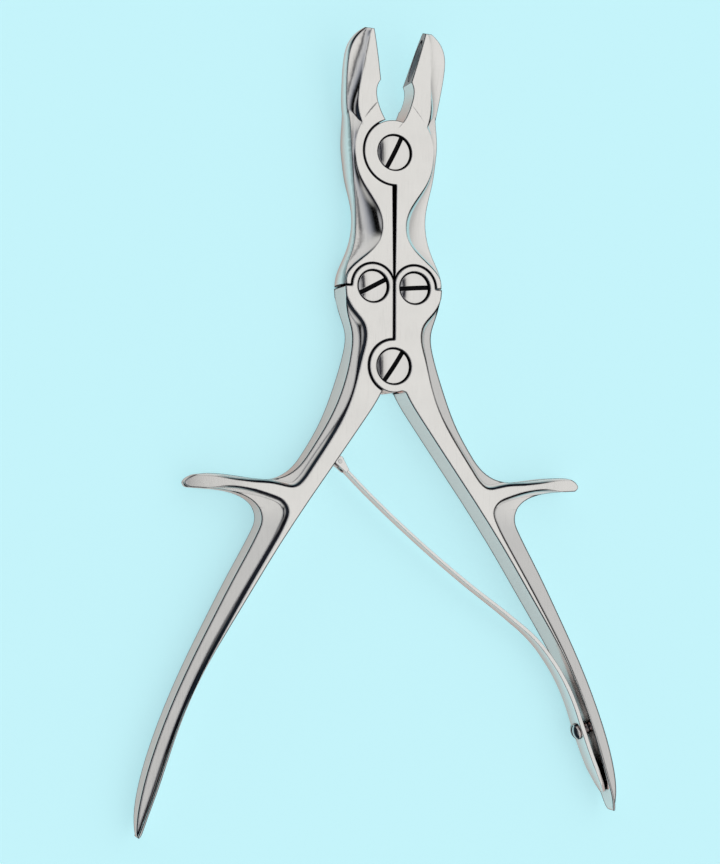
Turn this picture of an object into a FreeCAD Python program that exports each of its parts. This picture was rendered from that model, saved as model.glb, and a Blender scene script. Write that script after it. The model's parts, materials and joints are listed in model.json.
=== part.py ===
import FreeCAD, Part
import math
import os

os.makedirs("parts", exist_ok=True)
V = FreeCAD.Vector
UP = V(0, 0, 1)

# A double-action bone rongeur lying flat on its back. The origin is where the handle pivot's axis meets
# the surface under it, X runs to the right, Y toward the jaws and Z up. All sizes are in millimetres.

# Body thickness, and the plane where the crossed halves lie on each other.
THICK = 9.5
MID = THICK / 2
LAP_GAP = 0.08

# The four pivots form a kite: jaw pivot at the top, two link pivots, handle pivot at the origin.
JAW_PIVOT = V(0, 61.5, 0)
LINK_X = 6.4
LINK_Y = 22.7
HANDLE_PIVOT = V(0, 0, 0)

# Half discs of the lap joints, and the gap round each in the piece that it turns against.
JAW_DISC = 9.3
LINK_DISC = 6.4
HANDLE_DISC = 7.5
SEAT_GAP = 0.4

# Where the finger rest leaves the handle's own side form, and the share of the hollow flank's width at the tip.
HORN_ROOT = 37.0
FLANK_AT_TIP = 0.22

# Gap along the middle line, at the link pivots and at the jaw pivot.
GAP_LOW = 0.25
GAP_HIGH = 0.6

# Pivot screws: the large pair is at the jaw and handle pivots, the small pair at the links.
BIG_HEAD = 4.9
BIG_SHANK = 2.6
BIG_THREAD = 2.2
SMALL_HEAD = 4.35
SMALL_SHANK = 2.3
SMALL_THREAD = 1.9
HEAD_DEEP = 2.2
HEAD_RING = 0.35
HEAD_DOME = 0.45
HEAD_SUNK = 0.1
HEAD_FLOOR = 0.06
SLOT_WIDE = 1.25
SLOT_DEEP = 0.9
RUN_FIT = 0.04
JAW_PIVOT_PLAY = 0.3

# Angle of each screw's slot, from X.
SLOT_JAW = 63
SLOT_LEFT = 28
SLOT_RIGHT = 5
SLOT_HANDLE = 56

# Cutting rims: half the angle between the open jaws, and the bend of the beaks toward the front.
JAW_OPEN = 13.0
BEAK_BEND = 18.0
RIM_LOW = 82.0
CUP_CENTRE = 88.6
CUP_LONG = 6.2
CUP_DEEP = 3.0
CUP_WIDE = 2.1

# Return spring: a leaf on the right handle whose forked end holds a roller against the left handle.
LEAF_FOOT = 1.4
LEAF_TIP = 0.8
ROLLER = V(-15.2, -27.3, 0)
ROLLER_R = 1.65
ROLLER_LONG = 2.1
FORK_R = 1.5
FORK_WIDE = 4.2
FORK_GAP = 2.3
PIN_R = 0.6
PIN_FIT = 0.05
SPRING_SCREW_HEAD = 2.4
SPRING_SCREW_TALL = 1.8
SPRING_SCREW_SHANK = 1.1
SPRING_SCREW_LONG = 5.6
SPRING_PAD_R = 1.8
SPRING_SLOT = 0.6
SPRING_SLOT_ANGLE = 105


def bend(a, b, c):
    """Edge that leaves a toward b and reaches c from b."""
    curve = Part.BezierCurve()
    curve.setPoles([a, b, c])
    return curve.toShape()


def section(base, out, up, width, flat, wall, half):
    """Forged section: flat inner face, narrow flats front and back, a cove, a bevel, a bowed outer wall."""
    def at(u, w):
        return base + out * u + up * w
    cove = flat + (width - flat) * 0.3
    foot = wall + (half - wall) * 0.12
    return Part.Wire([
        Part.makeLine(at(0, -half), at(0, half)),
        Part.makeLine(at(0, half), at(flat, half)),
        bend(at(flat, half), at(cove, foot), at(width, wall)),
        bend(at(width, wall), at(width + wall * 0.35, 0), at(width, -wall)),
        bend(at(width, -wall), at(cove, -foot), at(flat, -half)),
        Part.makeLine(at(flat, -half), at(0, -half)),
    ])


def disc(centre, radius, low, high):
    """Upright cylinder between two heights."""
    return Part.makeCylinder(radius, high - low, V(centre.x, centre.y, low), UP)


def slab(points, low, high):
    """Upright prism over an outline of straight lines."""
    outline = Part.makePolygon([V(x, y, low) for x, y in points + points[:1]])
    return Part.Face(outline).extrude(V(0, 0, high - low))


def mirror(shape):
    """The same shape on the other side of the middle plane."""
    return shape.mirror(V(0, 0, 0), V(1, 0, 0))


def link(side):
    return V(side * LINK_X, LINK_Y, 0)


# Half discs and their seats. The front half is the upper one as the tool lies.
def front_disc(centre, radius):
    return disc(centre, radius, MID + LAP_GAP / 2, THICK)


def rear_disc(centre, radius):
    return disc(centre, radius, 0, MID - LAP_GAP / 2)


def front_seat(centre, radius):
    return disc(centre, radius + SEAT_GAP, MID - LAP_GAP / 2, THICK + 1)


def rear_seat(centre, radius):
    return disc(centre, radius + SEAT_GAP, -1, MID + LAP_GAP / 2)


# Jaws
def jaw_arm():
    """Lower arm and pivot boss of the right jaw, without its laps."""
    # Each station: Y, outer X, outer X of the flat, half wall.
    stations = [
        (22.0, 14.9, 14.1, 4.1),
        (27.0, 14.4, 13.4, 3.8),
        (31.5, 12.7, 8.4, 3.1),
        (36.0, 11.3, 4.5, 2.5),
        (41.0, 10.8, 3.6, 1.8),
        (46.5, 11.1, 5.6, 2.2),
        (52.0, 12.0, 9.4, 3.4),
        (57.5, 12.7, 11.7, 4.2),
        (63.0, 13.2, 12.1, 4.5),
        (68.0, 13.3, 10.9, 4.0),
        (71.5, 13.4, 8.8, 3.1),
        (75.5, 13.6, 5.5, 2.3),
    ]
    wires = []
    for y, outer, flat, wall in stations:
        wires.append(section(V(-2, y, MID), V(1, 0, 0), UP, outer + 2, flat + 2, wall, MID))
    return Part.makeLoft(wires, True, False)


def beak():
    """Upper end of the right jaw, bent to the front and tapering to a rounded tip."""
    # Each station: Y, inner X, outer X, outer X of the flat, half wall, half thickness, lift, bend.
    stations = [
        (68.0, -1.0, 12.8, 9.6, 2.3, 4.7, 0.0, 0),
        (72.0, -0.5, 13.6, 10.8, 2.3, 4.6, 0.1, 4),
        (76.0, 0.5, 14.2, 11.3, 2.3, 4.0, 0.75, 13),
        (80.0, 1.5, 14.6, 11.1, 2.2, 3.4, 1.9, 17),
        (84.0, 2.5, 14.9, 10.6, 2.1, 3.0, 3.2, BEAK_BEND),
        (88.0, 3.5, 14.9, 10.1, 2.0, 2.75, 4.5, BEAK_BEND),
        (91.5, 4.4, 14.2, 9.6, 1.8, 2.4, 5.6, BEAK_BEND),
        (94.5, 5.2, 12.2, 9.2, 1.3, 1.9, 6.6, BEAK_BEND),
        (96.2, 5.7, 10.0, 8.7, 0.8, 1.4, 7.2, BEAK_BEND),
    ]
    wires = []
    for y, inner, outer, flat, wall, half, lift, bend in stations:
        tilt = math.radians(bend)
        up = V(0, -math.sin(tilt), math.cos(tilt))
        base = V(inner, y, MID + lift)
        wires.append(section(base, V(1, 0, 0), up, outer - inner, flat - inner, wall, half))
    return Part.makeLoft(wires, True, False)


def jaw_trim():
    """Everything on the inner side of the right jaw: middle gap, throat and the plane of the cutting rim."""
    rim = math.tan(math.radians(JAW_OPEN))
    top = 104.0
    low = V(JAW_PIVOT.x + rim * (RIM_LOW - JAW_PIVOT.y), RIM_LOW, -5)
    high = V(JAW_PIVOT.x + rim * (top - JAW_PIVOT.y), top, -5)
    throat = Part.BSplineCurve()
    throat.interpolate([V(GAP_HIGH, 68, -5), V(3.6, 72, -5), V(5.2, 76, -5), V(5.7, 79.5, -5), low])
    edges = [
        Part.makeLine(V(-30, 15, -5), V(GAP_LOW, 15, -5)),
        Part.makeLine(V(GAP_LOW, 15, -5), V(GAP_LOW, LINK_Y, -5)),
        Part.makeLine(V(GAP_LOW, LINK_Y, -5), V(GAP_HIGH, 52, -5)),
        Part.makeLine(V(GAP_HIGH, 52, -5), V(GAP_HIGH, 68, -5)),
        throat.toShape(),
        Part.makeLine(low, high),
        Part.makeLine(high, V(-30, top, -5)),
        Part.makeLine(V(-30, top, -5), V(-30, 15, -5)),
    ]
    return Part.Face(Part.Wire(edges)).extrude(V(0, 0, 30))


def cup():
    """Hollow of the right beak: an ellipsoid on the middle line of the cutting rim."""
    ball = Part.makeSphere(1, V(0, 0, 0), V(1, 0, 0))
    stretch = FreeCAD.Matrix()
    stretch.scale(CUP_DEEP, CUP_LONG, CUP_WIDE)
    hollow = ball.transformGeometry(stretch)
    hollow.rotate(V(0, 0, 0), V(1, 0, 0), BEAK_BEND)
    hollow.rotate(V(0, 0, 0), UP, -JAW_OPEN)
    x = math.tan(math.radians(JAW_OPEN)) * (CUP_CENTRE - JAW_PIVOT.y)
    z = MID + (CUP_CENTRE - 74.0) * math.tan(math.radians(BEAK_BEND))
    hollow.translate(V(x, CUP_CENTRE, z))
    return hollow


def jaw_blank():
    """Right jaw with cup and trimmed inner side, cut off square at the shoulder beside the link pivot."""
    below = slab([(-30, 10), (30, 10), (30, LINK_Y + SEAT_GAP / 2), (-30, LINK_Y + SEAT_GAP / 2)], -5, 30)
    return jaw_arm().fuse(beak()).cut(jaw_trim()).cut(cup()).cut(below)


# Handles
def spline(points, height=0.0):
    """Smooth curve through points of the plan at one height."""
    curve = Part.BSplineCurve()
    curve.interpolate([V(x, y, height) for x, y in points])
    return curve


def handle_plan():
    """The right handle cut from a plate: down its outer side, round the finger rest, down to the tip and back."""
    upper = spline([
        (14.8, 26.0), (14.7, 20.5), (13.6, 14.5), (12.2, 9.5), (12.6, 3.5), (14.9, -5.2), (19.1, -15.5),
        (24.3, -24.2), (28.4, -29.4), (33.4, -32.2), (39.5, -32.6), (47.0, -31.7), (54.0, -31.2), (58.8, -32.1),
        (60.6, -33.7),
    ])
    horn_tip = spline([(60.6, -33.7), (60.4, -34.6), (59.0, -35.1)])
    lower = spline([
        (59.0, -35.1), (52.0, -35.5), (46.4, -36.4), (42.2, -38.1), (39.5, -40.8), (38.8, -43.8), (40.0, -47.4),
        (45.9, -58.2), (52.2, -70.0), (60.3, -86.0), (67.1, -102.0), (71.8, -117.5), (72.8, -124.0), (72.8, -128.2),
    ])
    tip = spline([(72.8, -128.2), (72.3, -129.8), (71.6, -128.6)])
    inner = spline([
        (71.6, -128.6), (70.8, -125.6), (68.2, -118.0), (62.8, -102.0), (55.7, -86.0), (46.0, -70.0),
        (35.9, -54.0), (25.0, -38.0), (14.9, -24.0), (9.2, -16.0), (6.0, -11.4), (3.7, -7.4),
    ])
    back = Part.makePolygon([V(3.7, -7.4, 0), V(-3.0, -5.0, 0), V(-3.0, 26.0, 0), V(14.8, 26.0, 0)]).Edges
    outline = Part.Wire([curve.toShape() for curve in (upper, horn_tip, lower, tip, inner)] + back)
    return Part.Face(outline).extrude(V(0, 0, THICK))


def side_form(points):
    """Body seen from the side: bounded above and below by one smooth curve of half heights along Y."""
    top = Part.BSplineCurve()
    top.interpolate([V(-10, y, MID + half) for y, half in points])
    low = Part.BSplineCurve()
    low.interpolate([V(-10, y, MID - half) for y, half in points])
    start = Part.makeLine(low.StartPoint, top.StartPoint)
    end = Part.makeLine(top.EndPoint, low.EndPoint)
    return Part.Face(Part.Wire([top.toShape(), end, low.toShape(), start])).extrude(V(100, 0, 0))


def horn_room():
    """Box round the part of the finger rest that stands out from the handle."""
    return slab([(HORN_ROOT, -40.6), (66, -40.6), (66, -28), (HORN_ROOT, -28)], -5, 30)


def joined_form(along, across):
    """A side form for the handle that a second one, drawn along X, pares down on the finger rest."""
    horn = side_form([(-x, half) for x, half in across])
    horn.rotate(V(0, 0, 0), UP, 90)
    horn.translate(V(0, -80, 0))
    return side_form(along).cut(horn_room().cut(horn))


def thick_form():
    """Thickness at the flats: full along the handle, tapering to its tip and to the tip of the finger rest."""
    full = MID + 0.5
    return joined_form(
        [(30, full), (0, full), (-40, full), (-78, full), (-90, MID), (-104, MID - 0.15), (-117, MID - 0.5),
         (-124, MID - 1.15), (-128, MID - 2.1), (-130.2, MID - 3.3), (-131.6, 0.3)],
        [(66, 0.3), (60.4, 1.7), (58, 2.8), (53, MID - 0.95), (46, MID - 0.3), (41, MID), (HORN_ROOT, full), (30, full)],
    )


def floor_form():
    """Level of the channels and outer walls, along the handle and along the finger rest."""
    return joined_form(
        [(28, MID - 0.9), (19.5, MID - 0.5), (14, MID - 1.6), (9, MID - 1.8), (3, MID - 1.2), (-6, MID - 0.4),
         (-12, MID - 0.6), (-19, MID - 1.3), (-28, MID - 1.6), (-38, MID - 1.55), (-50, MID - 1.1), (-62, MID - 1.1),
         (-86, MID - 1.5), (-104, MID - 1.75), (-117, MID - 2.0), (-124, MID - 2.6), (-131.6, 0.2)],
        [(66, 0.1), (60, 0.9), (57, 1.5), (52, 2.3), (46, 2.8), (41, MID - 1.7), (HORN_ROOT, MID - 1.45), (30, MID - 1.3)],
    )


def flat_edge(grown):
    """Edge of the handle's flat from the head round the finger rest to the tip, grown outward."""
    points = [
        (15.4, 26.0), (14.9, 20.8), (12.4, 16.0), (8.9, 11.6), (8.4, 7.6), (9.6, 2.5), (11.6, -5.5), (15.0, -14.5),
        (19.8, -22.6), (25.0, -30.3), (27.2, -33.2), (29.6, -34.8), (32.6, -34.6), (36.0, -33.9), (41.0, -33.6),
        (49.0, -32.9), (57.0, -33.2), (58.8, -33.7), (57.0, -34.1), (49.0, -34.3), (41.0, -35.5), (36.3, -36.9),
        (33.0, -38.5), (31.4, -41.2), (32.2, -44.6), (36.5, -52.3), (45.3, -66.9), (57.7, -89.6), (66.6, -111.5),
        (69.2, -119.5), (71.2, -125.8), (72.1, -129.2), (73.0, -133.0),
    ]
    base = spline(points)
    ring = []
    for x, y in points:
        along = base.tangent(base.parameter(V(x, y, 0)))[0]
        # The flank gets narrower toward the tip.
        reach = grown * min(1.0, max(FLANK_AT_TIP, (y + 125.0) / 55.0))
        ring.append((x - along.y * reach, y + along.x * reach))
    return ring


def ridge():
    """Everything under the flats, with a hollow-ground flank that runs down into the channels."""
    # Each ring: how far it is grown from the flat's edge, and how far below the flat it lies.
    rings = [(0.0, -0.02), (0.35, 0.62), (0.75, 1.12), (1.2, 1.5), (1.7, 1.85)]
    wires = []
    for grown, drop in rings + [(rings[-1][0], MID)]:
        points = flat_edge(grown)
        height = THICK - drop
        ends = [points[-1], (20.0, -133.0), (-4.0, -40.0), (-4.0, 26.0), points[0]]
        closing = Part.makePolygon([V(x, y, height) for x, y in ends]).Edges
        wires.append(Part.Wire([spline(points, height).toShape()] + closing))
    front = Part.makeLoft(wires, True, True)
    rear = front.mirror(V(0, 0, MID), UP)
    return front.fuse(rear)


def handle_blank():
    """Right handle trimmed at the middle line and at the shoulder beside the link pivot."""
    above = slab([(-30, LINK_Y - SEAT_GAP / 2), (30, LINK_Y - SEAT_GAP / 2), (30, 40), (-30, 40)], -5, 30)
    beyond = slab([(-30, -30), (GAP_LOW, -30), (GAP_LOW, 40), (-30, 40)], -5, 30)
    body = handle_plan().common(thick_form()).common(ridge().fuse(floor_form()))
    return body.cut(above).cut(beyond)


def middle_cut(side):
    """Keeps a link disc on its own side of the middle line."""
    x = side * GAP_LOW
    return slab([(x, 0), (x - side * 30, 0), (x - side * 30, 50), (x, 50)], -5, 30)


# Holes for a pivot screw: thread in the rear half, bore and head seat in the front half.
def thread_hole(centre, radius):
    return disc(centre, radius, -1, MID + 1)


def screw_bore(centre, shank, head, play):
    seat = disc(centre, head + HEAD_RING, THICK - HEAD_DEEP - HEAD_FLOOR, THICK + 1)
    return disc(centre, shank + play, 0, THICK).fuse(seat)


def pivot_screw(centre, head, shank, thread, angle):
    """Slotted, slightly domed screw, flush at the back where it is ground off."""
    dome = (head * head + HEAD_DOME * HEAD_DOME) / (2 * HEAD_DOME)
    top = THICK - HEAD_SUNK
    body = disc(centre, head, THICK - HEAD_DEEP, top)
    body = body.common(Part.makeSphere(dome, V(centre.x, centre.y, top - dome)))
    body = body.fuse(disc(centre, shank, MID, THICK - HEAD_DEEP))
    body = body.fuse(disc(centre, thread, 0, MID))
    slot = Part.makeBox(2 * head + 2, SLOT_WIDE, 2, V(-head - 1, -SLOT_WIDE / 2, 0))
    slot.rotate(V(0, 0, 0), UP, angle)
    slot.translate(V(centre.x, centre.y, top - SLOT_DEEP))
    return body.cut(slot)


# Return spring
def leaf_path():
    """Middle line of the leaf, from its forked end down to its foot on the right handle."""
    curve = Part.BSplineCurve()
    curve.interpolate([
        V(-13.3, -29.6, MID), V(-6.1, -36.5, MID), V(7.9, -48.8, MID), V(23.8, -61.5, MID), V(38.8, -72.5, MID),
        V(46.2, -78.6, MID), V(51.5, -84.8, MID), V(55.4, -90.8, MID), V(58.5, -97.2, MID), V(61.6, -105.8, MID),
        V(65.3, -115.4, MID), V(69.4, -124.0, MID),
    ])
    return curve


def leaf_bar():
    """The leaf as a bar that gets wider and thicker toward its foot and narrows at the very end."""
    curve = leaf_path()
    first, last = curve.FirstParameter, curve.LastParameter
    # Each station: share of the path's parameter, width, and share of the foot's thickness.
    stations = [(0, 3.8, 0), (0.15, 3.8, 0), (0.35, 4.2, 0.2), (0.5, 5.0, 0.5), (0.62, 5.9, 0.9), (0.75, 6.3, 1),
                (0.9, 6.0, 0.9), (0.97, 4.2, 0.5), (1, 2.0, 0.3)]
    wires = []
    for share, wide, thick in stations:
        u = first + (last - first) * share
        point = curve.value(u)
        along = curve.tangent(u)[0]
        a = V(-along.y, along.x, 0) * ((LEAF_TIP + (LEAF_FOOT - LEAF_TIP) * thick) / 2)
        b = UP * (wide / 2)
        corners = [point + a + b, point + a - b, point - a - b, point - a + b]
        wires.append(Part.makePolygon(corners + corners[:1]))
    return Part.makeLoft(wires, True, False)


def spring_screw_place():
    """Point on the leaf's middle line and the direction into the handle for the spring screw."""
    curve = leaf_path()
    u = curve.parameter(V(61.6, -105.8, MID))
    along = curve.tangent(u)[0]
    inward = V(-along.y, along.x, 0)
    return curve.value(u), inward


def spring_pad():
    """Round boss on the inner side of the right handle that the leaf is screwed against."""
    point, inward = spring_screw_place()
    return Part.makeCylinder(SPRING_PAD_R, 4, point, inward)


def return_spring():
    """Leaf with a forked, rounded end for the roller and a hole for its screw."""
    start = leaf_path().value(leaf_path().FirstParameter)
    reach = V(start.x - ROLLER.x, start.y - ROLLER.y, 0)
    angle = math.degrees(math.atan2(reach.y, reach.x))
    neck = Part.makeBox(reach.Length + 0.4, 1.9, FORK_WIDE, V(0, -0.95, 0))
    neck.rotate(V(0, 0, 0), UP, angle)
    neck.translate(V(ROLLER.x, ROLLER.y, MID - FORK_WIDE / 2))
    end = disc(ROLLER, FORK_R, MID - FORK_WIDE / 2, MID + FORK_WIDE / 2).fuse(neck)
    end = end.cut(disc(ROLLER, ROLLER_R + 0.3, MID - FORK_GAP / 2, MID + FORK_GAP / 2))
    end = end.cut(disc(ROLLER, PIN_R + PIN_FIT / 2, 0, THICK))
    point, inward = spring_screw_place()
    hole = Part.makeCylinder(SPRING_SCREW_SHANK + 0.1, 6, point - inward * 3, inward)
    return leaf_bar().fuse(end).cut(hole)


def spring_screw():
    """Small slotted screw through the leaf into the right handle."""
    point, inward = spring_screw_place()
    face = point - inward * (LEAF_FOOT / 2 + 0.02)
    head = Part.makeCylinder(SPRING_SCREW_HEAD, SPRING_SCREW_TALL, face, inward * -1)
    dome = 3.4
    head = head.common(Part.makeSphere(dome, face + inward * (dome - SPRING_SCREW_TALL)))
    shank = Part.makeCylinder(SPRING_SCREW_SHANK, SPRING_SCREW_LONG, face, inward)
    slot = Part.makeBox(6, SPRING_SLOT, 2, V(-3, -SPRING_SLOT / 2, SPRING_SCREW_TALL * 0.5))
    slot.rotate(V(0, 0, 0), UP, SPRING_SLOT_ANGLE)
    slot.Placement = FreeCAD.Placement(face, FreeCAD.Rotation(UP, inward * -1)).multiply(slot.Placement)
    return head.fuse(shank).cut(slot)


def roller():
    whole = disc(ROLLER, ROLLER_R, MID - ROLLER_LONG / 2, MID + ROLLER_LONG / 2)
    return whole.cut(disc(ROLLER, PIN_R + PIN_FIT, 0, THICK))


def roller_pin():
    return disc(ROLLER, PIN_R, MID - FORK_WIDE / 2, MID + FORK_WIDE / 2)


# The moving pieces with their laps and holes
def left_jaw():
    body = mirror(jaw_blank())
    body = body.cut(front_seat(link(-1), LINK_DISC)).cut(front_seat(JAW_PIVOT, JAW_DISC))
    body = body.fuse(rear_disc(link(-1), LINK_DISC).cut(middle_cut(-1))).fuse(rear_disc(JAW_PIVOT, JAW_DISC))
    return body.cut(thread_hole(link(-1), SMALL_THREAD)).cut(thread_hole(JAW_PIVOT, BIG_THREAD))


def right_jaw():
    body = jaw_blank()
    body = body.cut(front_seat(link(1), LINK_DISC)).cut(rear_seat(JAW_PIVOT, JAW_DISC))
    body = body.fuse(rear_disc(link(1), LINK_DISC).cut(middle_cut(1))).fuse(front_disc(JAW_PIVOT, JAW_DISC))
    body = body.cut(thread_hole(link(1), SMALL_THREAD))
    return body.cut(screw_bore(JAW_PIVOT, BIG_SHANK, BIG_HEAD, JAW_PIVOT_PLAY))


def left_handle():
    body = mirror(handle_blank())
    body = body.cut(rear_seat(link(-1), LINK_DISC)).cut(front_seat(HANDLE_PIVOT, HANDLE_DISC))
    body = body.fuse(front_disc(link(-1), LINK_DISC).cut(middle_cut(-1))).fuse(rear_disc(HANDLE_PIVOT, HANDLE_DISC))
    body = body.cut(screw_bore(link(-1), SMALL_SHANK, SMALL_HEAD, RUN_FIT))
    return body.cut(thread_hole(HANDLE_PIVOT, BIG_THREAD))


def right_handle():
    body = handle_blank()
    body = body.cut(rear_seat(link(1), LINK_DISC)).cut(rear_seat(HANDLE_PIVOT, HANDLE_DISC))
    body = body.fuse(front_disc(link(1), LINK_DISC).cut(middle_cut(1))).fuse(front_disc(HANDLE_PIVOT, HANDLE_DISC))
    body = body.cut(screw_bore(link(1), SMALL_SHANK, SMALL_HEAD, RUN_FIT))
    body = body.cut(screw_bore(HANDLE_PIVOT, BIG_SHANK, BIG_HEAD, RUN_FIT))
    body = body.fuse(spring_pad()).cut(leaf_bar())
    point, inward = spring_screw_place()
    face = point - inward * (LEAF_FOOT / 2)
    return body.cut(Part.makeCylinder(SPRING_SCREW_SHANK, SPRING_SCREW_LONG + 0.05, face, inward))


def save(shape, name):
    """Writes one piece as one solid."""
    solids = sorted(shape.removeSplitter().Solids, key=lambda s: s.Volume)
    solids[-1].exportStep("parts/" + name + ".step")
    print(name, len(solids), "solids", round(solids[-1].Volume, 1), "mm3", solids[-1].isValid())


save(left_jaw(), "left_jaw")
save(right_jaw(), "right_jaw")
save(left_handle(), "left_handle")
save(right_handle(), "right_handle")
save(pivot_screw(JAW_PIVOT, BIG_HEAD, BIG_SHANK, BIG_THREAD, SLOT_JAW), "jaw_pivot_screw")
save(pivot_screw(link(-1), SMALL_HEAD, SMALL_SHANK, SMALL_THREAD, SLOT_LEFT), "left_link_screw")
save(pivot_screw(link(1), SMALL_HEAD, SMALL_SHANK, SMALL_THREAD, SLOT_RIGHT), "right_link_screw")
save(pivot_screw(HANDLE_PIVOT, BIG_HEAD, BIG_SHANK, BIG_THREAD, SLOT_HANDLE), "handle_pivot_screw")
save(return_spring(), "return_spring")
save(spring_screw(), "spring_screw")
save(roller(), "spring_roller")
save(roller_pin(), "roller_pin")
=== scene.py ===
import json
import math

import bmesh
import bpy
from mathutils import Matrix, Vector

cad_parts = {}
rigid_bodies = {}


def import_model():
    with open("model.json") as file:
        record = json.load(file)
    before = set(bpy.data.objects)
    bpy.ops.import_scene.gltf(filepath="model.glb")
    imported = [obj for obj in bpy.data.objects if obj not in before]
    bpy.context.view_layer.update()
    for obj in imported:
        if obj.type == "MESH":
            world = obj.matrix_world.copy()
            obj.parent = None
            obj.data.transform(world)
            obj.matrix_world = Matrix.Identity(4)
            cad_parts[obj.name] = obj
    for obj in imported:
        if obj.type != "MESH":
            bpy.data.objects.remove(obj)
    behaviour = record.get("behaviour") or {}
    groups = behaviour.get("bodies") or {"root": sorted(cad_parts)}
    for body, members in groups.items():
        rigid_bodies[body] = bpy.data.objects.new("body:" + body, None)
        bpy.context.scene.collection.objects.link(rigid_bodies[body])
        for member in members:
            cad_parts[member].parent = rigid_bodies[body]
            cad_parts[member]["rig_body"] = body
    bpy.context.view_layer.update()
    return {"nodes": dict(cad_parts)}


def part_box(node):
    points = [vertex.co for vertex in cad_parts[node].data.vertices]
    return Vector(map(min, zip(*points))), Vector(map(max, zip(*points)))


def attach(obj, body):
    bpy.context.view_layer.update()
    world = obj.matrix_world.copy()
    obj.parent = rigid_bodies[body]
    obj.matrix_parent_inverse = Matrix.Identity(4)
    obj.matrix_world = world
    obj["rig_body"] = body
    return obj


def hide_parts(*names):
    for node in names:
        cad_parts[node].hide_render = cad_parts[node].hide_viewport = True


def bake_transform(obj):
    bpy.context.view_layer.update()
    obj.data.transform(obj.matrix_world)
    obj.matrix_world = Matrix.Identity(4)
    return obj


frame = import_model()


# Camera
# The tool was photographed from above and a little to its left, from about half a metre. The camera is
# turned so that the jaws point up in the picture.
tilt_left, tilt_down, roll = 0.366334, -0.0507807, 0.0045031
back = Vector((-math.sin(tilt_left) * math.cos(tilt_down), math.sin(tilt_down),
               math.cos(tilt_left) * math.cos(tilt_down)))
side = Vector((0, 1, 0)).cross(back).normalized()
rise = back.cross(side)
right = math.cos(roll) * side + math.sin(roll) * rise
up = math.cos(roll) * rise - math.sin(roll) * side
stand = Matrix((right, up, back)).transposed().to_4x4()
stand.translation = Vector((-0.19449, -0.04517, 0.48962))
lens = bpy.data.cameras.new("camera")
lens.sensor_fit = "AUTO"
lens.sensor_width = 36
lens.lens = 75.93
lens.clip_start = 0.01
camera = bpy.data.objects.new("camera", lens)
camera.matrix_world = stand
bpy.context.scene.collection.objects.link(camera)
bpy.context.scene.camera = camera
bpy.context.scene.view_settings.view_transform = "Standard"


# Floor
# A sheet of pale blue-green paper that the tool lies on, matt. Part of its colour is its own light, so that
# it stays even and pale in the picture and in the steel, and it keeps the soft shadow under the tool.
paper_reach = 40.0
paper_drop = 0.00015
paper_colour = (0.28, 0.46, 0.485, 1)
paper_light = (0.56, 0.903, 0.965, 1)
paper_light_strength = 0.672


def reckon(tree, operation, *values):
    """The outcome of one Math node, where each value is a number or a socket that gives it."""
    step = tree.nodes.new("ShaderNodeMath")
    step.operation = operation
    for socket, value in zip(step.inputs, values):
        if isinstance(value, (int, float)):
            socket.default_value = value
        else:
            tree.links.new(value, socket)
    return step.outputs[0]


paper_mesh = bpy.data.meshes.new("paper")
paper_build = bmesh.new()
bmesh.ops.create_grid(paper_build, x_segments=1, y_segments=1, size=paper_reach)
for corner in paper_build.verts:
    corner.co.z = -paper_drop
paper_build.to_mesh(paper_mesh)
paper_build.free()
paper = bpy.data.objects.new("paper", paper_mesh)
bpy.context.scene.collection.objects.link(paper)
paper_finish = bpy.data.materials.new("pale_paper")
paper_finish.use_nodes = True
paper_tree = paper_finish.node_tree
matt = paper_tree.nodes["Principled BSDF"]
matt.inputs["Base Color"].default_value = paper_colour
matt.inputs["Roughness"].default_value = 0.9
matt.inputs["Specular IOR Level"].default_value = 0.0
matt.inputs["Emission Color"].default_value = paper_light
path = paper_tree.nodes.new("ShaderNodeLightPath")
seen = reckon(paper_tree, "ADD", path.outputs["Is Camera Ray"], path.outputs["Is Glossy Ray"])
shown = reckon(paper_tree, "ADD", seen, path.outputs["Is Transmission Ray"])
once = reckon(paper_tree, "MINIMUM", shown, 1.0)
own_light = reckon(paper_tree, "MULTIPLY", once, paper_light_strength)
paper_tree.links.new(own_light, matt.inputs["Emission Strength"])
paper_mesh.materials.append(paper_finish)


# Light
# A white tent: a bright panel to the right of the camera, a dark gap beside it, a dimmer bluish panel on
# the left and a band of black cloth further down. Polished steel shows the gap and the black cloth as dark
# lines along its edges. The two ends of the tent are plain white cloth.
black_cloth, dark_gap, end_cloth = (0.0, 0.0, 0.0), (0.03, 0.03, 0.04), (0.86, 0.86, 0.85)
end_starts, end_full, end_share = 0.42, 0.62, 0.85
# From the left side of the tent to its right side: how far sideways a look goes, and what it meets there.
tent_panels = (
    (-0.97, (0.62, 0.62, 0.63)), (-0.89, (0.52, 0.53, 0.55)), (-0.84, black_cloth), (-0.62, black_cloth),
    (-0.45, (0.1, 0.11, 0.13)), (-0.28, (0.42, 0.44, 0.49)), (-0.05, (0.70, 0.71, 0.73)),
    (0.02, (0.68, 0.69, 0.70)), (0.06, dark_gap), (0.115, dark_gap), (0.16, (0.85, 0.84, 0.82)),
    (0.26, (1.0, 0.995, 0.975)), (0.62, (0.98, 0.975, 0.96)), (0.85, (0.84, 0.835, 0.82)),
    (0.97, (0.62, 0.62, 0.615)),
)


def fade(tree, value, start, end, low=0.0, high=1.0):
    """A value that goes from low to high while another one goes from start to end."""
    ramp = tree.nodes.new("ShaderNodeMapRange")
    ramp.inputs["From Min"].default_value = start
    ramp.inputs["From Max"].default_value = end
    ramp.inputs["To Min"].default_value = low
    ramp.inputs["To Max"].default_value = high
    tree.links.new(value, ramp.inputs["Value"])
    return ramp.outputs["Result"]


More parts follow.
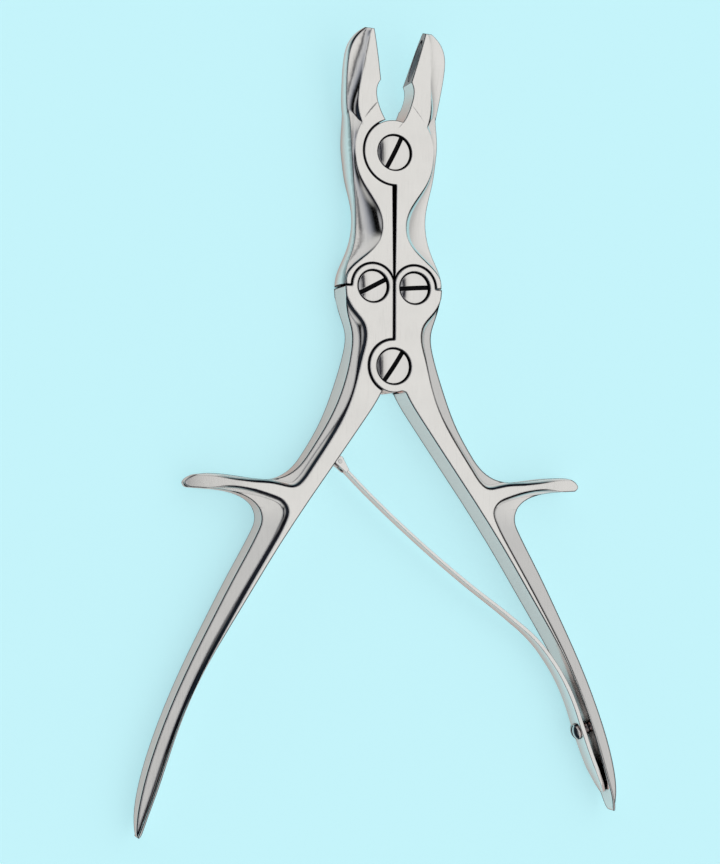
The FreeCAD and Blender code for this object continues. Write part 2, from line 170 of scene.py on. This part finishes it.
def cover(tree, mask, under, over):
    """A colour that goes from under to over by a mask. Each is three numbers or a socket that gives it."""
    coat = tree.nodes.new("ShaderNodeMix")
    coat.data_type = "RGBA"
    tree.links.new(mask, coat.inputs["Factor"])
    for name, colour in (("A", under), ("B", over)):
        if isinstance(colour, tuple):
            coat.inputs[name].default_value = (*colour, 1)
        else:
            tree.links.new(colour, coat.inputs[name])
    return coat.outputs["Result"]


tent = bpy.data.worlds.new("tent")
tent.use_nodes = True
tent_tree = tent.node_tree
look = tent_tree.nodes.new("ShaderNodeTexCoord")
look_parts = tent_tree.nodes.new("ShaderNodeSeparateXYZ")
tent_tree.links.new(look.outputs["Generated"], look_parts.inputs["Vector"])
panels = tent_tree.nodes.new("ShaderNodeValToRGB")
for sideways, shade in tent_panels:
    stop = panels.color_ramp.elements.new(sideways / 2 + 0.5)
    stop.color = (*shade, 1)
panels.color_ramp.elements.remove(panels.color_ramp.elements[0])
panels.color_ramp.elements.remove(panels.color_ramp.elements[-1])
tent_tree.links.new(fade(tent_tree, look_parts.outputs["X"], -1, 1), panels.inputs["Fac"])
lengthways = reckon(tent_tree, "ABSOLUTE", look_parts.outputs["Y"])
ends = fade(tent_tree, lengthways, end_starts, end_full, high=end_share)
lit = cover(tent_tree, ends, panels.outputs["Color"], end_cloth)
tent_tree.links.new(lit, tent_tree.nodes["Background"].inputs["Color"])
tent_tree.nodes["Background"].inputs["Strength"].default_value = 1.0
bpy.context.scene.world = tent


# Jaws
# Two drop-forged stainless levers, milled flat where they cross, with a ground cove between the narrow
# front flat and the outer wall. They are mirror polished, with faint hairlines and soft patches left.
def polish_marks():
    """Masks of hairlines and mop patches, and a faint relief, for every polished piece."""
    group = bpy.data.node_groups.new("polish_marks", "ShaderNodeTree")
    strength = group.interface.new_socket("Hairlines", in_out="INPUT", socket_type="NodeSocketFloat")
    strength.default_value = 1.0
    for name in ("Gloss Mask", "Relief"):
        group.interface.new_socket(name, in_out="OUTPUT", socket_type="NodeSocketFloat")
    come, go = group.nodes.new("NodeGroupInput"), group.nodes.new("NodeGroupOutput")
    place = group.nodes.new("ShaderNodeTexCoord")
    patches = group.nodes.new("ShaderNodeTexNoise")
    patches.inputs["Scale"].default_value = 130
    patches.inputs["Detail"].default_value = 4
    patches.inputs["Roughness"].default_value = 0.6
    group.links.new(place.outputs["Object"], patches.inputs["Vector"])
    hairlines = []
    for angle, squeeze in ((0.5, 60), (-0.9, 45)):
        turn = group.nodes.new("ShaderNodeMapping")
        turn.inputs["Rotation"].default_value = (0.3, 0.2, angle)
        turn.inputs["Scale"].default_value = (squeeze, 1.5, 1.5)
        hair = group.nodes.new("ShaderNodeTexNoise")
        hair.inputs["Scale"].default_value = 90
        hair.inputs["Detail"].default_value = 3
        group.links.new(place.outputs["Object"], turn.inputs["Vector"])
        group.links.new(turn.outputs["Vector"], hair.inputs["Vector"])
        hairlines.append(fade(group, hair.outputs["Fac"], 0.58, 0.72))
    scratches = reckon(group, "MULTIPLY", reckon(group, "MAXIMUM", *hairlines), come.outputs["Hairlines"])
    group.links.new(reckon(group, "ADD", scratches, patches.outputs["Fac"]), go.inputs["Gloss Mask"])
    group.links.new(reckon(group, "SUBTRACT", patches.outputs["Fac"], scratches), go.inputs["Relief"])
    return group


# The cosine between a broken edge and its face: plain steel above the first value, painted dark below the
# second.
edge_turn = (0.98, 0.88)
# How level a face is, where 0 stands upright and 1 lies flat: the foot of a hollow lies between two slopes.
# That foot is painted dark, standing in for a dark reflection.
foot_upper, foot_lower, wall_slope = (0.74, 0.6), (0.2, 0.36), (0.55, 0.4)
# A gap is looked at this far round, and gets painted shade where less of what is round it is open.
gap_reach, gap_openness = 0.0022, (0.7, 0.35)


def painted_shade_masks():
    """Masks of painted shade and of upright faces, and the normal of broken edges, for every polished
    piece.

    Painted dark reflection lies along broken edges and on the steep foot of each ground hollow, and painted
    shade lies in narrow gaps."""
    group = bpy.data.node_groups.new("painted_shade_masks", "ShaderNodeTree")
    rounding = group.interface.new_socket("Rounding", in_out="INPUT", socket_type="NodeSocketFloat")
    rounding.default_value = 0.0006
    for name in ("Painted Shade", "Upright"):
        group.interface.new_socket(name, in_out="OUTPUT", socket_type="NodeSocketFloat")
    group.interface.new_socket("Broken Edges", in_out="OUTPUT", socket_type="NodeSocketVector")
    come, go = group.nodes.new("NodeGroupInput"), group.nodes.new("NodeGroupOutput")
    edges = group.nodes.new("ShaderNodeBevel")
    edges.samples = 16
    group.links.new(come.outputs["Rounding"], edges.inputs["Radius"])
    group.links.new(edges.outputs["Normal"], go.inputs["Broken Edges"])
    form = group.nodes.new("ShaderNodeNewGeometry")
    turned = group.nodes.new("ShaderNodeVectorMath")
    turned.operation = "DOT_PRODUCT"
    group.links.new(edges.outputs["Normal"], turned.inputs[0])
    group.links.new(form.outputs["Normal"], turned.inputs[1])
    along_edge = fade(group, turned.outputs["Value"], *edge_turn)
    place = group.nodes.new("ShaderNodeTexCoord")
    facing = group.nodes.new("ShaderNodeSeparateXYZ")
    group.links.new(place.outputs["Normal"], facing.inputs["Vector"])
    level = reckon(group, "ABSOLUTE", facing.outputs["Z"])
    foot = reckon(group, "MULTIPLY", fade(group, level, *foot_upper), fade(group, level, *foot_lower))
    gap = group.nodes.new("ShaderNodeAmbientOcclusion")
    gap.samples = 6
    gap.inputs["Distance"].default_value = gap_reach
    narrow = fade(group, gap.outputs["AO"], *gap_openness)
    edge_or_foot = reckon(group, "MAXIMUM", along_edge, foot)
    group.links.new(reckon(group, "MAXIMUM", edge_or_foot, narrow), go.inputs["Painted Shade"])
    group.links.new(fade(group, level, *wall_slope), go.inputs["Upright"])
    return group


marks, shade_masks = polish_marks(), painted_shade_masks()
# Each finish has a colour straight on and a tint at a glancing look. Plain steel has no tint of its own.
# Painted shade: a near black colour, with a near black tint so that no reflection shows through it.
painted_shade_colour, painted_shade_tint = (0.02, 0.021, 0.028), (0.06, 0.06, 0.07)
# Upright faces get a warm colour and tint that offset the blue-green paper they reflect: a painted
# reflection colour.
reflection_warmed_wall, reflection_warmed_tint, no_tint = (0.92, 0.855, 0.835), (1.0, 0.55, 0.48), (1.0, 1.0, 1.0)
worn_share = 0.9


def polished_steel(name, colour, gloss, dull, walls=reflection_warmed_wall, hairlines=1.0, relief=0.02,
                   rounding=0.0006):
    """Stainless steel whose roughness goes from gloss to dull where the polish is worn, with broken edges
    and painted shade.

    walls is the colour of its upright faces, warmed against the blue-green paper they reflect as a painted
    reflection colour."""
    steel = bpy.data.materials.new(name)
    steel.use_nodes = True
    tree = steel.node_tree
    skin = tree.nodes["Principled BSDF"]
    skin.inputs["Metallic"].default_value = 1.0
    wear = tree.nodes.new("ShaderNodeGroup")
    wear.node_tree = marks
    wear.inputs["Hairlines"].default_value = hairlines
    left = tree.nodes.new("ShaderNodeGroup")
    left.node_tree = shade_masks
    left.inputs["Rounding"].default_value = rounding
    worn, upright = wear.outputs["Gloss Mask"], left.outputs["Upright"]
    flats = cover(tree, worn, colour, tuple(share * worn_share for share in colour))
    unshaded_steel = cover(tree, upright, flats, walls)
    tint = cover(tree, upright, no_tint, reflection_warmed_tint)
    # Painted dark reflection along edges and hollow feet, and painted shade in narrow gaps, laid over the
    # steel.
    painted_shade = left.outputs["Painted Shade"]
    tree.links.new(cover(tree, painted_shade, unshaded_steel, painted_shade_colour), skin.inputs["Base Color"])
    tree.links.new(cover(tree, painted_shade, tint, painted_shade_tint), skin.inputs["Specular Tint"])
    tree.links.new(fade(tree, worn, 0, 1, gloss, dull), skin.inputs["Roughness"])
    bump = tree.nodes.new("ShaderNodeBump")
    bump.inputs["Strength"].default_value = relief
    bump.inputs["Distance"].default_value = 0.0002
    tree.links.new(wear.outputs["Relief"], bump.inputs["Height"])
    tree.links.new(left.outputs["Broken Edges"], bump.inputs["Normal"])
    tree.links.new(bump.outputs["Normal"], skin.inputs["Normal"])
    return steel


def painted_shade_black(name):
    """Near black painted shade, finely mottled, for a slot or gap where shadow falls."""
    dark = bpy.data.materials.new(name)
    dark.use_nodes = True
    tree = dark.node_tree
    skin = tree.nodes["Principled BSDF"]
    skin.inputs["Roughness"].default_value = 0.8
    skin.inputs["Specular IOR Level"].default_value = 0.1
    place = tree.nodes.new("ShaderNodeTexCoord")
    shade_mottle = tree.nodes.new("ShaderNodeTexNoise")
    shade_mottle.inputs["Scale"].default_value = 900
    tree.links.new(place.outputs["Object"], shade_mottle.inputs["Vector"])
    shade = tree.nodes.new("ShaderNodeValToRGB")
    shade.color_ramp.elements[0].color = (0.002, 0.002, 0.003, 1)
    shade.color_ramp.elements[1].color = (0.014, 0.014, 0.017, 1)
    tree.links.new(shade_mottle.outputs["Fac"], shade.inputs["Fac"])
    tree.links.new(shade.outputs["Color"], skin.inputs["Base Color"])
    return dark


def shade_faces(build, crease):
    """Smooth faces all over, with each edge that bends more than crease degrees kept sharp."""
    for face in build.faces:
        face.smooth = True
    for edge in build.edges:
        edge.smooth = len(edge.link_faces) == 2 and edge.calc_face_angle(0) < math.radians(crease)


def forged(node, finish, others=(), pick=None):
    """Smooth-shaded skin over one solid of the frame, with its true edges kept.

    pick says which finish a face has, from its middle in millimetres and its normal."""
    mesh = frame["nodes"][node].data.copy()
    mesh.name = node + "_skin"
    mesh.materials.clear()
    build = bmesh.new()
    build.from_mesh(mesh)
    bmesh.ops.remove_doubles(build, verts=build.verts, dist=2e-6)
    shade_faces(build, crease=24)
    for face in build.faces:
        face.material_index = 0
    build.to_mesh(mesh)
    build.free()
    for material in (finish, *others):
        mesh.materials.append(material)
    if pick:
        for face in mesh.polygons:
            face.material_index = pick(face.center * 1000, face.normal)
    skin = bpy.data.objects.new(node + "_skin", mesh)
    bpy.context.scene.collection.objects.link(skin)
    even = skin.modifiers.new("even_flats", "WEIGHTED_NORMAL")
    even.keep_sharp = True
    even.weight = 80
    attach(skin, frame["nodes"][node]["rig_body"])
    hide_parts(node)
    return skin


# Sizes of the joints and beaks, in millimetres.
thick = 9.5
# Each pivot has X, Y, the radius of its half discs and the radius of its head's seat.
pivots = ((0.0, 61.5, 9.3, 5.25), (-6.4, 22.7, 6.4, 4.7), (6.4, 22.7, 6.4, 4.7), (0.0, 0.0, 7.5, 5.25))
# A face this near to a surface lies on it, and a normal with this share along a direction faces it.
skim, facing_straight = 0.05, 0.9
# The gap of a lap joint reaches this far to either side of its half disc's edge.
lap_inside, lap_outside = 0.1, 0.5
# The narrow faces beyond the two end pivots, where left and right meet, stay bright.
seam_half_width, seam_above, seam_below = 3.7, 69.5, -6.2
# The cup in each beak is part of an ellipsoid: its centre, then its half sizes across, along and in height.
cup_centre, cup_half_sizes, cup_edge = (6.257, 88.6, 9.494), (3.0, 6.2, 2.1), 1.03
beak_lean, cup_tilt = math.radians(13), math.radians(18)
# The bite begins this far along the tool, and its cup reaches this deep into the beak.
bite_start, cup_depth = 82.1, 3.1


def in_joint(spot, normal):
    """True for faces down in the gaps of the lap joints and round the screw heads."""
    if spot.z > thick - skim or spot.z < skim:
        return False
    if abs(spot.x) < seam_half_width and (spot.y > seam_above or spot.y < seam_below):
        return False
    for x, y, half_disc, seat in pivots:
        away = math.hypot(spot.x - x, spot.y - y)
        if away < seat + skim:
            return True
        if half_disc - lap_inside < away < half_disc + lap_outside:
            toward = abs((spot.x - x) * normal.x + (spot.y - y) * normal.y) / away
            if toward > facing_straight or abs(spot.z - thick / 2) < 2 * skim:
                return True
    return False


def hollow(spot):
    """How far out a point is in the ellipsoid of a beak's cup, where 1 is its wall."""
    x, y, z = abs(spot.x) - cup_centre[0], spot.y - cup_centre[1], spot.z - cup_centre[2]
    across = x * math.cos(beak_lean) - y * math.sin(beak_lean)
    along = x * math.sin(beak_lean) + y * math.cos(beak_lean)
    length = along * math.cos(cup_tilt) + z * math.sin(cup_tilt)
    height = z * math.cos(cup_tilt) - along * math.sin(cup_tilt)
    return math.hypot(across / cup_half_sizes[0], length / cup_half_sizes[1], height / cup_half_sizes[2])


def in_bite(spot, normal):
    """True for the hollow of a beak and the ground rim round it."""
    if spot.y < bite_start:
        return False
    across = abs(spot.x) * math.cos(beak_lean) - (spot.y - pivots[0][1]) * math.sin(beak_lean)
    facing = -math.copysign(1, spot.x) * normal.x * math.cos(beak_lean) + normal.y * math.sin(beak_lean)
    on_rim = across < skim and facing > facing_straight
    in_cup = skim <= across < cup_depth and hollow(spot) < cup_edge
    return on_rim or in_cup


def jaw_finish(spot, normal):
    """1 for painted shade in the joints, 2 for the dull bite, 0 for the polish elsewhere."""
    if in_joint(spot, normal):
        return 1
    return 2 if in_bite(spot, normal) else 0


# Faces down in the joint gaps are given near black painted shade.
joint_painted_shade = painted_shade_black("joint_painted_shade")
# The jaws' upright faces are warmed a little more, as painted reflection colour.
jaw_steel = polished_steel("jaw_steel", (0.76, 0.75, 0.735), 0.10, 0.18, walls=(0.93, 0.82, 0.79),
                           hairlines=0.5)
bite_steel = polished_steel("bite_steel", (0.44, 0.43, 0.44), 0.3, 0.45, walls=(0.44, 0.40, 0.40),
                            relief=0.1)
for node in ("left_jaw", "right_jaw"):
    jaw = forged(node, jaw_steel, others=(joint_painted_shade, bite_steel), pick=jaw_finish)


# Handles
# Long curved levers of the same forged steel, with a finger rest drawn out of each and channels ground into
# the front and the back. They are polished like the jaws, but fingers have worn the rests dull and level.
# The middle height of the levers, and the handles' other sizes, in metres.
mid_height = thick / 2000
# Where the grip ends and the rests begin, and how far out the wear on them starts and is full.
grip_end, rest_start = -0.046, -0.040
satin_start, satin_full, satin_roughness = 0.034, 0.047, 0.12
level_start, level_full, level_share = 0.026, 0.042, 0.85
# A face counts as lying from the first of these slopes to the second, where 1 is level.
rest_slope, floor_slope = (0.8, 0.92), (0.85, 0.95)
# The channels, from just under the front face down to their floor, as heights from the middle.
channel_brim, channel_bottom = 0.00472, 0.0044
channel_colour, channel_share = (0.3, 0.305, 0.32), 0.42


def feeding(socket):
    """The output that feeds a socket."""
    return socket.links[0].from_socket


def worn_by_hands(steel):
    """Adds the worn finger rests and the greyer floor of the channels to a polished steel."""
    tree = steel.node_tree
    skin = tree.nodes["Principled BSDF"]
    place = tree.nodes.new("ShaderNodeTexCoord")
    spot = tree.nodes.new("ShaderNodeSeparateXYZ")
    facing = tree.nodes.new("ShaderNodeSeparateXYZ")
    tree.links.new(place.outputs["Object"], spot.inputs["Vector"])
    tree.links.new(place.outputs["Normal"], facing.inputs["Vector"])
    sideways = reckon(tree, "ABSOLUTE", spot.outputs["X"])
    level = reckon(tree, "ABSOLUTE", facing.outputs["Z"])
    above_grip = fade(tree, spot.outputs["Y"], grip_end, rest_start)

    # The gloss goes toward the end of each rest.
    satin = fade(tree, sideways, satin_start, satin_full, high=satin_roughness)
    dulled = reckon(tree, "MULTIPLY_ADD", satin, above_grip, feeding(skin.inputs["Roughness"]))
    tree.links.new(dulled, skin.inputs["Roughness"])

    # The front and back of each rest lean less than they were forged.
    lying = reckon(tree, "MULTIPLY", above_grip, fade(tree, level, *rest_slope))
    outward = fade(tree, sideways, level_start, level_full, high=level_share)
    levelled = reckon(tree, "MULTIPLY", lying, outward)
    lean = reckon(tree, "SUBTRACT", 1.0, levelled)
    lean_shares = tree.nodes.new("ShaderNodeCombineXYZ")
    lean_shares.inputs["Z"].default_value = 1.0
    tree.links.new(lean, lean_shares.inputs["X"])
    tree.links.new(lean, lean_shares.inputs["Y"])
    flatter = tree.nodes.new("ShaderNodeVectorMath")
    flatter.operation = "MULTIPLY"
    tree.links.new(feeding(skin.inputs["Normal"]), flatter.inputs[0])
    tree.links.new(lean_shares.outputs["Vector"], flatter.inputs[1])
    whole = tree.nodes.new("ShaderNodeVectorMath")
    whole.operation = "NORMALIZE"
    tree.links.new(flatter.outputs["Vector"], whole.inputs[0])
    tree.links.new(whole.outputs["Vector"], skin.inputs["Normal"])

    # Down in the channels the floor is given a greyer colour, under the painted shade along its edges.
    from_middle = reckon(tree, "ABSOLUTE", reckon(tree, "SUBTRACT", spot.outputs["Z"], mid_height))
    down = fade(tree, from_middle, channel_brim, channel_bottom, high=channel_share)
    grey = reckon(tree, "MULTIPLY", down, lean)
    floor = reckon(tree, "MULTIPLY", grey, fade(tree, level, *floor_slope))
    painted_shade_coat = skin.inputs["Base Color"].links[0].from_node
    greyer = cover(tree, floor, feeding(painted_shade_coat.inputs["A"]), channel_colour)
    tree.links.new(greyer, painted_shade_coat.inputs["A"])


def handle_finish(spot, normal):
    """1 for painted shade in the joints, 0 for the polish elsewhere."""
    return 1 if in_joint(spot, normal) else 0


handle_steel = polished_steel("handle_steel", (0.76, 0.75, 0.735), 0.10, 0.20, hairlines=0.5,
                              rounding=0.0009)
worn_by_hands(handle_steel)
for node in ("left_handle", "right_handle"):
    handle = forged(node, handle_steel, others=(joint_painted_shade,), pick=handle_finish)


# Pivot screws
# Slotted screws turned from bar, domed and polished after they are driven in, with painted shade in the
# slots.
# A thread in the rear half of each joint holds them.
# How far under the top of a head its slot's walls reach at most, and its slot's floor lies at least.
slot_wall_reach, slot_floor_depth = 0.0015, 0.0005
screw_steel = polished_steel("screw_steel", (0.74, 0.73, 0.72), 0.04, 0.10, hairlines=0.6, rounding=0.0002)
# The slots are given near black painted shade.
slot_painted_shade = painted_shade_black("slot_painted_shade")
for node in ("jaw_pivot_screw", "left_link_screw", "right_link_screw", "handle_pivot_screw"):
    screw = forged(node, screw_steel, others=(slot_painted_shade,))
    top = Vector(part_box(node)[1]).z
    for face in screw.data.polygons:
        upright, upward = abs(face.normal.z) < 0.5, face.normal.z > 0.5
        slot_wall = upright and face.center.z > top - slot_wall_reach
        slot_floor = upward and face.center.z < top - slot_floor_depth
        if slot_wall or slot_floor:
            face.material_index = 1


# Return spring
# One leaf of spring steel, thickest near its foot and ground thinner toward its forked end, screwed against
# a boss on the right handle. On the tool it bends between the handles as they close; here it is built only
# in its rest shape, with its roller on the left one.
spring_steel = polished_steel("spring_steel", (0.75, 0.745, 0.735), 0.1, 0.2, hairlines=0.6,
                              rounding=0.00018)
# The leaf's middle line from the fork to its foot, X and Y in millimetres.
leaf_points = (
    (-13.3, -29.6), (-6.1, -36.5), (7.9, -48.8), (23.8, -61.5), (38.8, -72.5), (46.2, -78.6), (51.5, -84.8),
    (55.4, -90.8), (58.5, -97.2), (61.6, -105.8), (65.3, -115.4), (69.4, -124.0),
)
# How much of its full size the leaf has, by the share of the way from the fork to its foot.
leaf_widths = (
    (0, 0.603), (0.25, 0.619), (0.45, 0.698), (0.6, 0.81), (0.75, 0.937), (0.86, 1), (0.94, 0.952),
    (0.98, 0.667), (1, 0.317),
)
leaf_thicknesses = (
    (0, 0.571), (0.25, 0.586), (0.45, 0.679), (0.6, 0.821), (0.75, 0.964), (0.86, 1), (0.94, 0.929),
    (0.98, 0.786), (1, 0.7),
)
leaf_line = bpy.data.curves.new("leaf_line", "CURVE")
leaf_line.dimensions = "3D"
leaf_line.resolution_u = 24
run = leaf_line.splines.new("BEZIER")
run.bezier_points.add(len(leaf_points) - 1)
for point, (x, y) in zip(run.bezier_points, leaf_points):
    point.co = (x / 1000, y / 1000, mid_height)
    point.handle_left_type = point.handle_right_type = "AUTO"
leaf_guide = bpy.data.objects.new("leaf_guide", leaf_line)
bpy.context.scene.collection.objects.link(leaf_guide)

sweep = bpy.data.node_groups.new("leaf_along_line", "GeometryNodeTree")
sweep.interface.new_socket("Geometry", in_out="INPUT", socket_type="NodeSocketGeometry")
leaf_inputs = {}
for name, kind, value in (
    ("Steps", "NodeSocketInt", 200),
    ("Width", "NodeSocketFloat", 0.0063),
    ("Thickness", "NodeSocketFloat", 0.0014),
    ("Corner", "NodeSocketFloat", 0.00018),
    ("Steel", "NodeSocketMaterial", spring_steel),
):
    socket = sweep.interface.new_socket(name, in_out="INPUT", socket_type=kind)
    leaf_inputs[socket.identifier] = value
sweep.interface.new_socket("Geometry", in_out="OUTPUT", socket_type="NodeSocketGeometry")
nodes, links = sweep.nodes, sweep.links
come, go = nodes.new("NodeGroupInput"), nodes.new("NodeGroupOutput")

# The line is cut into even steps, and each step keeps its share of the way and its place for the taper.
steps = nodes.new("GeometryNodeResampleCurve")
links.new(come.outputs["Geometry"], steps.inputs["Curve"])
links.new(come.outputs["Steps"], steps.inputs["Count"])
standing = nodes.new("GeometryNodeSetCurveNormal")
standing.mode = "Z_UP"
links.new(steps.outputs["Curve"], standing.inputs["Curve"])
share = nodes.new("GeometryNodeSplineParameter")
spot = nodes.new("GeometryNodeInputPosition")
keep_share = nodes.new("GeometryNodeStoreNamedAttribute")
keep_share.inputs["Name"].default_value = "share"
links.new(standing.outputs["Curve"], keep_share.inputs["Geometry"])
links.new(share.outputs["Factor"], keep_share.inputs["Value"])
keep_centre = nodes.new("GeometryNodeStoreNamedAttribute")
keep_centre.data_type = "FLOAT_VECTOR"
keep_centre.inputs["Name"].default_value = "centre"
links.new(keep_share.outputs["Geometry"], keep_centre.inputs["Geometry"])
links.new(spot.outputs["Position"], keep_centre.inputs["Value"])

# A flat bar with softened corners runs along it.
bar = nodes.new("GeometryNodeCurvePrimitiveQuadrilateral")
links.new(come.outputs["Thickness"], bar.inputs["Width"])
links.new(come.outputs["Width"], bar.inputs["Height"])
softened = nodes.new("GeometryNodeFilletCurve")
softened.mode = "POLY"
softened.inputs["Count"].default_value = 3
links.new(bar.outputs["Curve"], softened.inputs["Curve"])
links.new(come.outputs["Corner"], softened.inputs["Radius"])
bar_along = nodes.new("GeometryNodeCurveToMesh")
bar_along.inputs["Fill Caps"].default_value = True
links.new(keep_centre.outputs["Geometry"], bar_along.inputs["Curve"])
links.new(softened.outputs["Curve"], bar_along.inputs["Profile Curve"])

# Each point is then drawn in toward the middle line by the leaf's width and thickness there.
known_share = nodes.new("GeometryNodeInputNamedAttribute")
known_share.inputs["Name"].default_value = "share"
known_centre = nodes.new("GeometryNodeInputNamedAttribute")
known_centre.data_type = "FLOAT_VECTOR"
known_centre.inputs["Name"].default_value = "centre"
sizes = nodes.new("ShaderNodeCombineXYZ")
for table, directions in ((leaf_widths, "Z"), (leaf_thicknesses, "XY")):
    taper = nodes.new("ShaderNodeFloatCurve")
    graph = taper.mapping.curves[0]
    graph.points[0].location, graph.points[1].location = table[0], table[-1]
    for entry in table[1:-1]:
        graph.points.new(*entry)
    for point in graph.points:
        point.handle_type = "VECTOR"
    taper.mapping.update()
    links.new(known_share.outputs["Attribute"], taper.inputs["Value"])
    for direction in directions:
        links.new(taper.outputs["Value"], sizes.inputs[direction])
offset = nodes.new("ShaderNodeVectorMath")
offset.operation = "SUBTRACT"
links.new(spot.outputs["Position"], offset.inputs[0])
links.new(known_centre.outputs["Attribute"], offset.inputs[1])
drawn_in = nodes.new("ShaderNodeVectorMath")
drawn_in.operation = "MULTIPLY_ADD"
links.new(offset.outputs["Vector"], drawn_in.inputs[0])
links.new(sizes.outputs["Vector"], drawn_in.inputs[1])
links.new(known_centre.outputs["Attribute"], drawn_in.inputs[2])
tapered = nodes.new("GeometryNodeSetPosition")
links.new(bar_along.outputs["Mesh"], tapered.inputs["Geometry"])
links.new(drawn_in.outputs["Vector"], tapered.inputs["Position"])
whole = nodes.new("GeometryNodeRealizeInstances")
links.new(tapered.outputs["Geometry"], whole.inputs["Geometry"])
dressed = nodes.new("GeometryNodeSetMaterial")
links.new(whole.outputs["Geometry"], dressed.inputs["Geometry"])
links.new(come.outputs["Steel"], dressed.inputs["Material"])
links.new(dressed.outputs["Geometry"], go.inputs["Geometry"])

making = leaf_guide.modifiers.new("leaf_along_line", "NODES")
making.node_group = sweep
for identifier, value in leaf_inputs.items():
    making[identifier] = value
swept = bpy.data.meshes.new_from_object(leaf_guide.evaluated_get(bpy.context.evaluated_depsgraph_get()))
leaf_guide.modifiers.remove(making)
bpy.data.objects.remove(leaf_guide)
leaf_build = bmesh.new()
leaf_build.from_mesh(swept)
bpy.data.meshes.remove(swept)

# The fork: two cheeks with rounded ends, joined to the leaf by a neck, with the pin through them.
roller_place = Vector((-0.0152, -0.0273, mid_height))
leaf_end = Vector((-0.0133, -0.0296, mid_height))
cheek_radius, neck_half_width, neck_overlap = 0.0015, 0.0006, 0.0006
cheek_inside, cheek_outside = 0.00115, 0.00206
round_start, round_sweep, round_steps = -115, 130, 18
reach = leaf_end - roller_place
beside = Vector((-reach.y, reach.x, 0)).normalized()
forward = reach.normalized()
outline = [roller_place + forward * (reach.length + neck_overlap) + beside * half
           for half in (neck_half_width, -neck_half_width)]
for step in range(round_steps + 1):
    angle = math.radians(round_start - (round_sweep / round_steps) * step)
    outline.append(roller_place + cheek_radius * (forward * math.cos(angle) + beside * math.sin(angle)))
for low, high in ((-cheek_outside, -cheek_inside), (cheek_inside, cheek_outside)):
    under, over = ([leaf_build.verts.new(Vector((spot.x, spot.y, spot.z + height))) for spot in outline]
                   for height in (low, high))
    for index in range(len(outline)):
        after = (index + 1) % len(outline)
        leaf_build.faces.new((under[index], under[after], over[after], over[index]))
    leaf_build.faces.new(list(reversed(under)))
    leaf_build.faces.new(over)
bmesh.ops.recalc_face_normals(leaf_build, faces=leaf_build.faces)
shade_faces(leaf_build, crease=50)
leaf_mesh = bpy.data.meshes.new("leaf_spring")
leaf_build.to_mesh(leaf_mesh)
leaf_build.free()
leaf_mesh.materials.append(spring_steel)
leaf = bpy.data.objects.new("leaf_spring", leaf_mesh)
bpy.context.scene.collection.objects.link(leaf)
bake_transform(leaf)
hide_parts("return_spring")

# The leaf's own small screw, its roller and the roller's pin were left as turned, duller than the rest.
tap_steel = polished_steel("tap_steel", (0.72, 0.71, 0.7), 0.3, 0.4, rounding=0.00035)
tap = forged("spring_screw", tap_steel)
roller_steel = polished_steel("roller_steel", (0.66, 0.66, 0.66), 0.2, 0.32, rounding=0.00015)
for node in ("spring_roller", "roller_pin"):
    wheel = forged(node, roller_steel)
